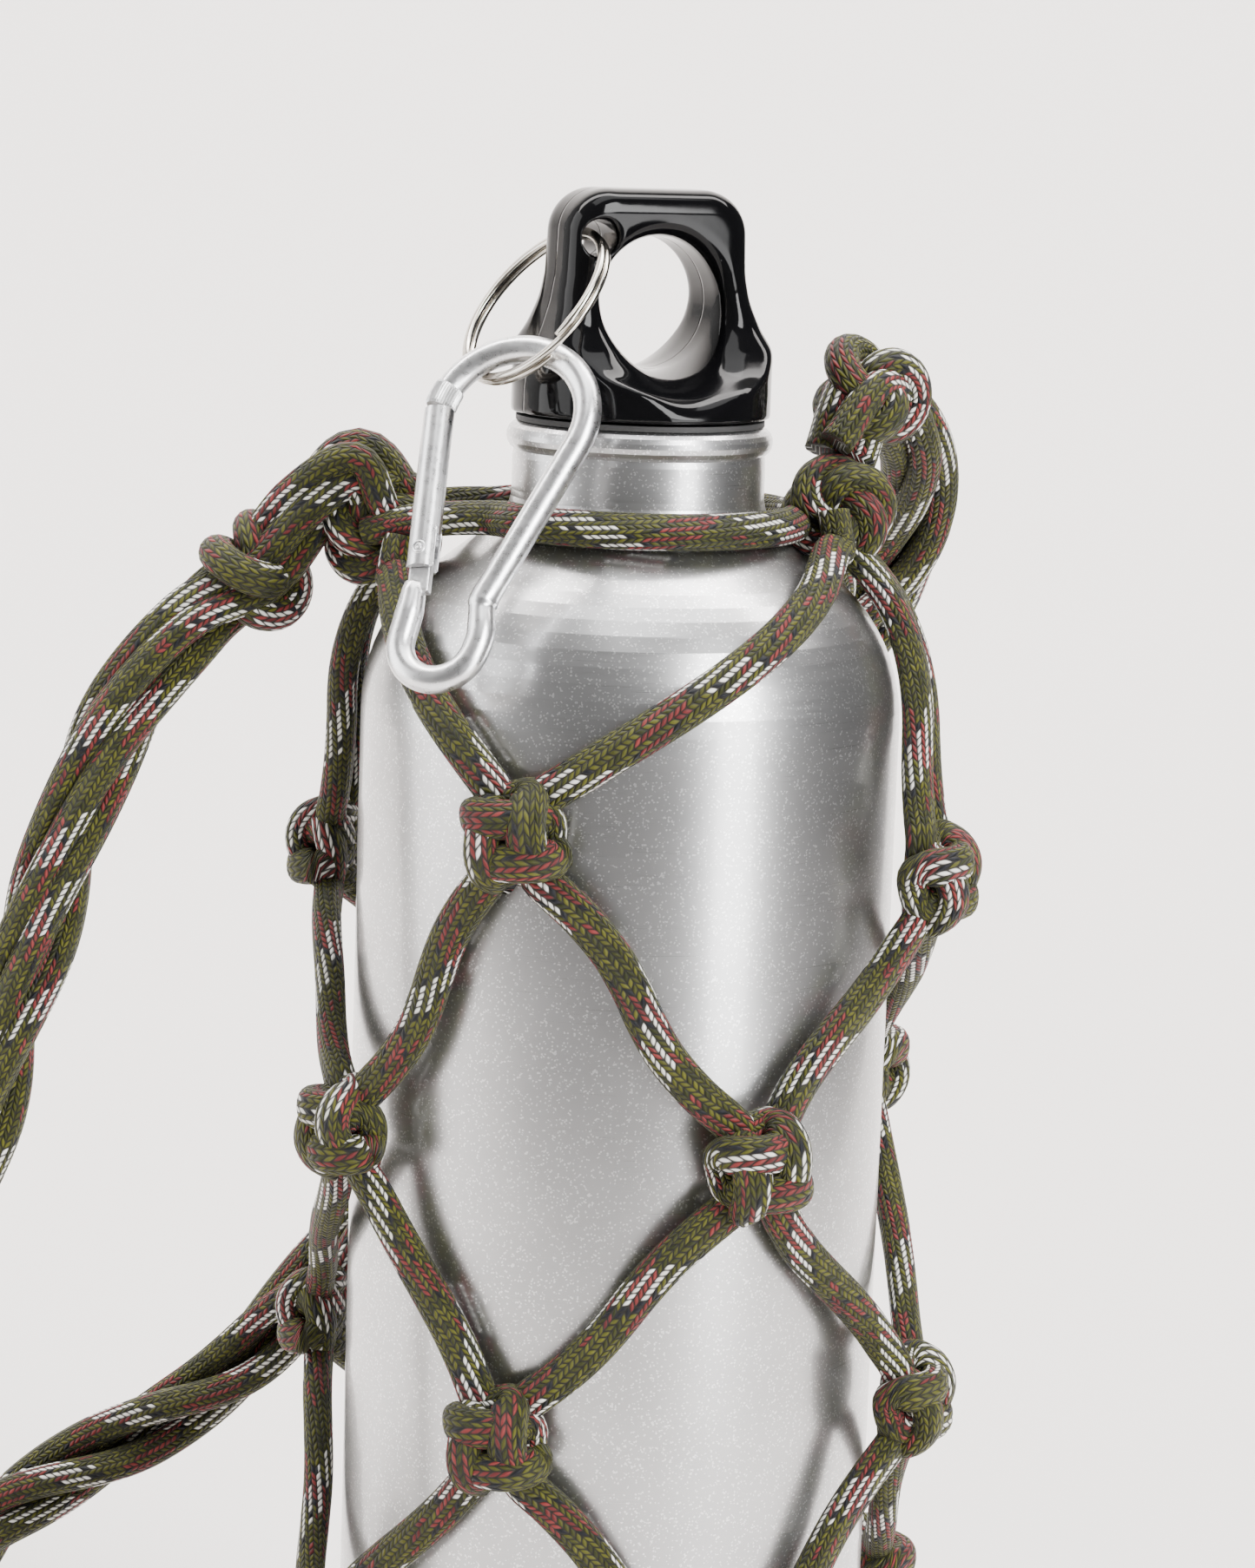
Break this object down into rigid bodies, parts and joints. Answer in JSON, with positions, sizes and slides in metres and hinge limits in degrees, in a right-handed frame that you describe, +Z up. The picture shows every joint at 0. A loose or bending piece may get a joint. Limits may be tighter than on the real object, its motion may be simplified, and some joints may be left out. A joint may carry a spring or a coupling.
{
  "type": "water bottle",
  "caption": "Rigid aluminium water bottle with a screw cap and finger loop, split ring, snap-hook carabiner and knotted cord carrier with a shoulder strap",
  "frame": {"origin": "on the ground under the bottle's axis, at the lowest point of the base knot and cords", "axes": "+Z up along the bottle, front of the bottle towards -Y, strap coil towards -X"},
  "size_m": [0.2431, 0.1112, 0.2546],
  "materials": {
    "bottle": "satin clear-coated brushed",
    "insert": "matte",
    "cap": "gloss moulded",
    "plug": "semi-gloss moulded",
    "seal": "matte",
    "ring": "nickel plated",
    "carabiner": "polished",
    "spring": "plain",
    "cord": "braided nylon"
  },
  "bodies": {
    "bottle": {"bottle_shell": "bottle", "thread_insert": "insert", "neck_cord": "cord", "neck_knot_right": "cord", "neck_knot_left": "cord", "base_cords": "cord", "base_knot": "cord", "net_cord_1": "cord", "net_cord_2": "cord", "net_cord_3": "cord", "net_cord_4": "cord", "net_cord_5": "cord", "net_cord_6": "cord", "net_cord_7": "cord", "net_cord_8": "cord", "net_knot_1_1": "cord", "net_knot_1_2": "cord", "net_knot_1_3": "cord", "net_knot_1_4": "cord", "net_knot_2_1": "cord", "net_knot_2_2": "cord", "net_knot_2_3": "cord", "net_knot_2_4": "cord", "net_knot_3_1": "cord", "net_knot_3_2": "cord", "net_knot_3_3": "cord", "net_knot_3_4": "cord", "net_knot_4_1": "cord", "net_knot_4_2": "cord", "net_knot_4_3": "cord", "net_knot_4_4": "cord", "net_knot_5_1": "cord", "net_knot_5_2": "cord", "net_knot_5_3": "cord", "net_knot_5_4": "cord", "strap_down": "cord", "strap_up": "cord", "strap_coil": "cord", "strap_knot_left": "cord", "strap_knot_right": "cord"},
    "cap": {"cap_handle": "cap"},
    "plug": {"cap_plug": "plug", "cap_seal": "seal"},
    "ring": {"split_ring": "ring"},
    "carabiner": {"carabiner_frame": "carabiner"},
    "gate": {"carabiner_gate": "carabiner", "gate_pin": "carabiner", "gate_spring": "spring", "gate_plunger": "spring"}
  },
  "joints": [
    {"name": "cap_lift", "type": "slide", "parent": "bottle", "child": "cap", "axis": [0, 0, 1], "range_m": [0, 0.02]},
    {"name": "plug_turn", "type": "hinge", "parent": "cap", "child": "plug", "pos_m": [0, 0, 0.2236], "axis": [0, 0, 1], "range_deg": [0, 1810]},
    {"name": "ring_swing", "type": "hinge", "parent": "cap", "child": "ring", "pos_m": [-0.00827, -0.00403, 0.2481], "axis": [-0.4384, 0.8988, 0], "range_deg": [0, 150]},
    {"name": "carabiner_swing", "type": "hinge", "parent": "ring", "child": "carabiner", "pos_m": [-0.01574, -0.01405, 0.23309], "axis": [-0.9374, 0.3412, 0.0698], "range_deg": [0, 110]},
    {"name": "gate_open", "type": "hinge", "parent": "carabiner", "child": "gate", "pos_m": [-0.0272, -0.02642, 0.20788], "axis": [0.29, 0.7969, -0.5299], "range_deg": [0, 25], "stiffness_Nm_per_rad": 0.05, "springref_deg": -17.19}
  ],
  "couplings": [
    {"joint": "plug_turn", "follows": "cap_lift", "rad_per_m": 1570.8}
  ]
}
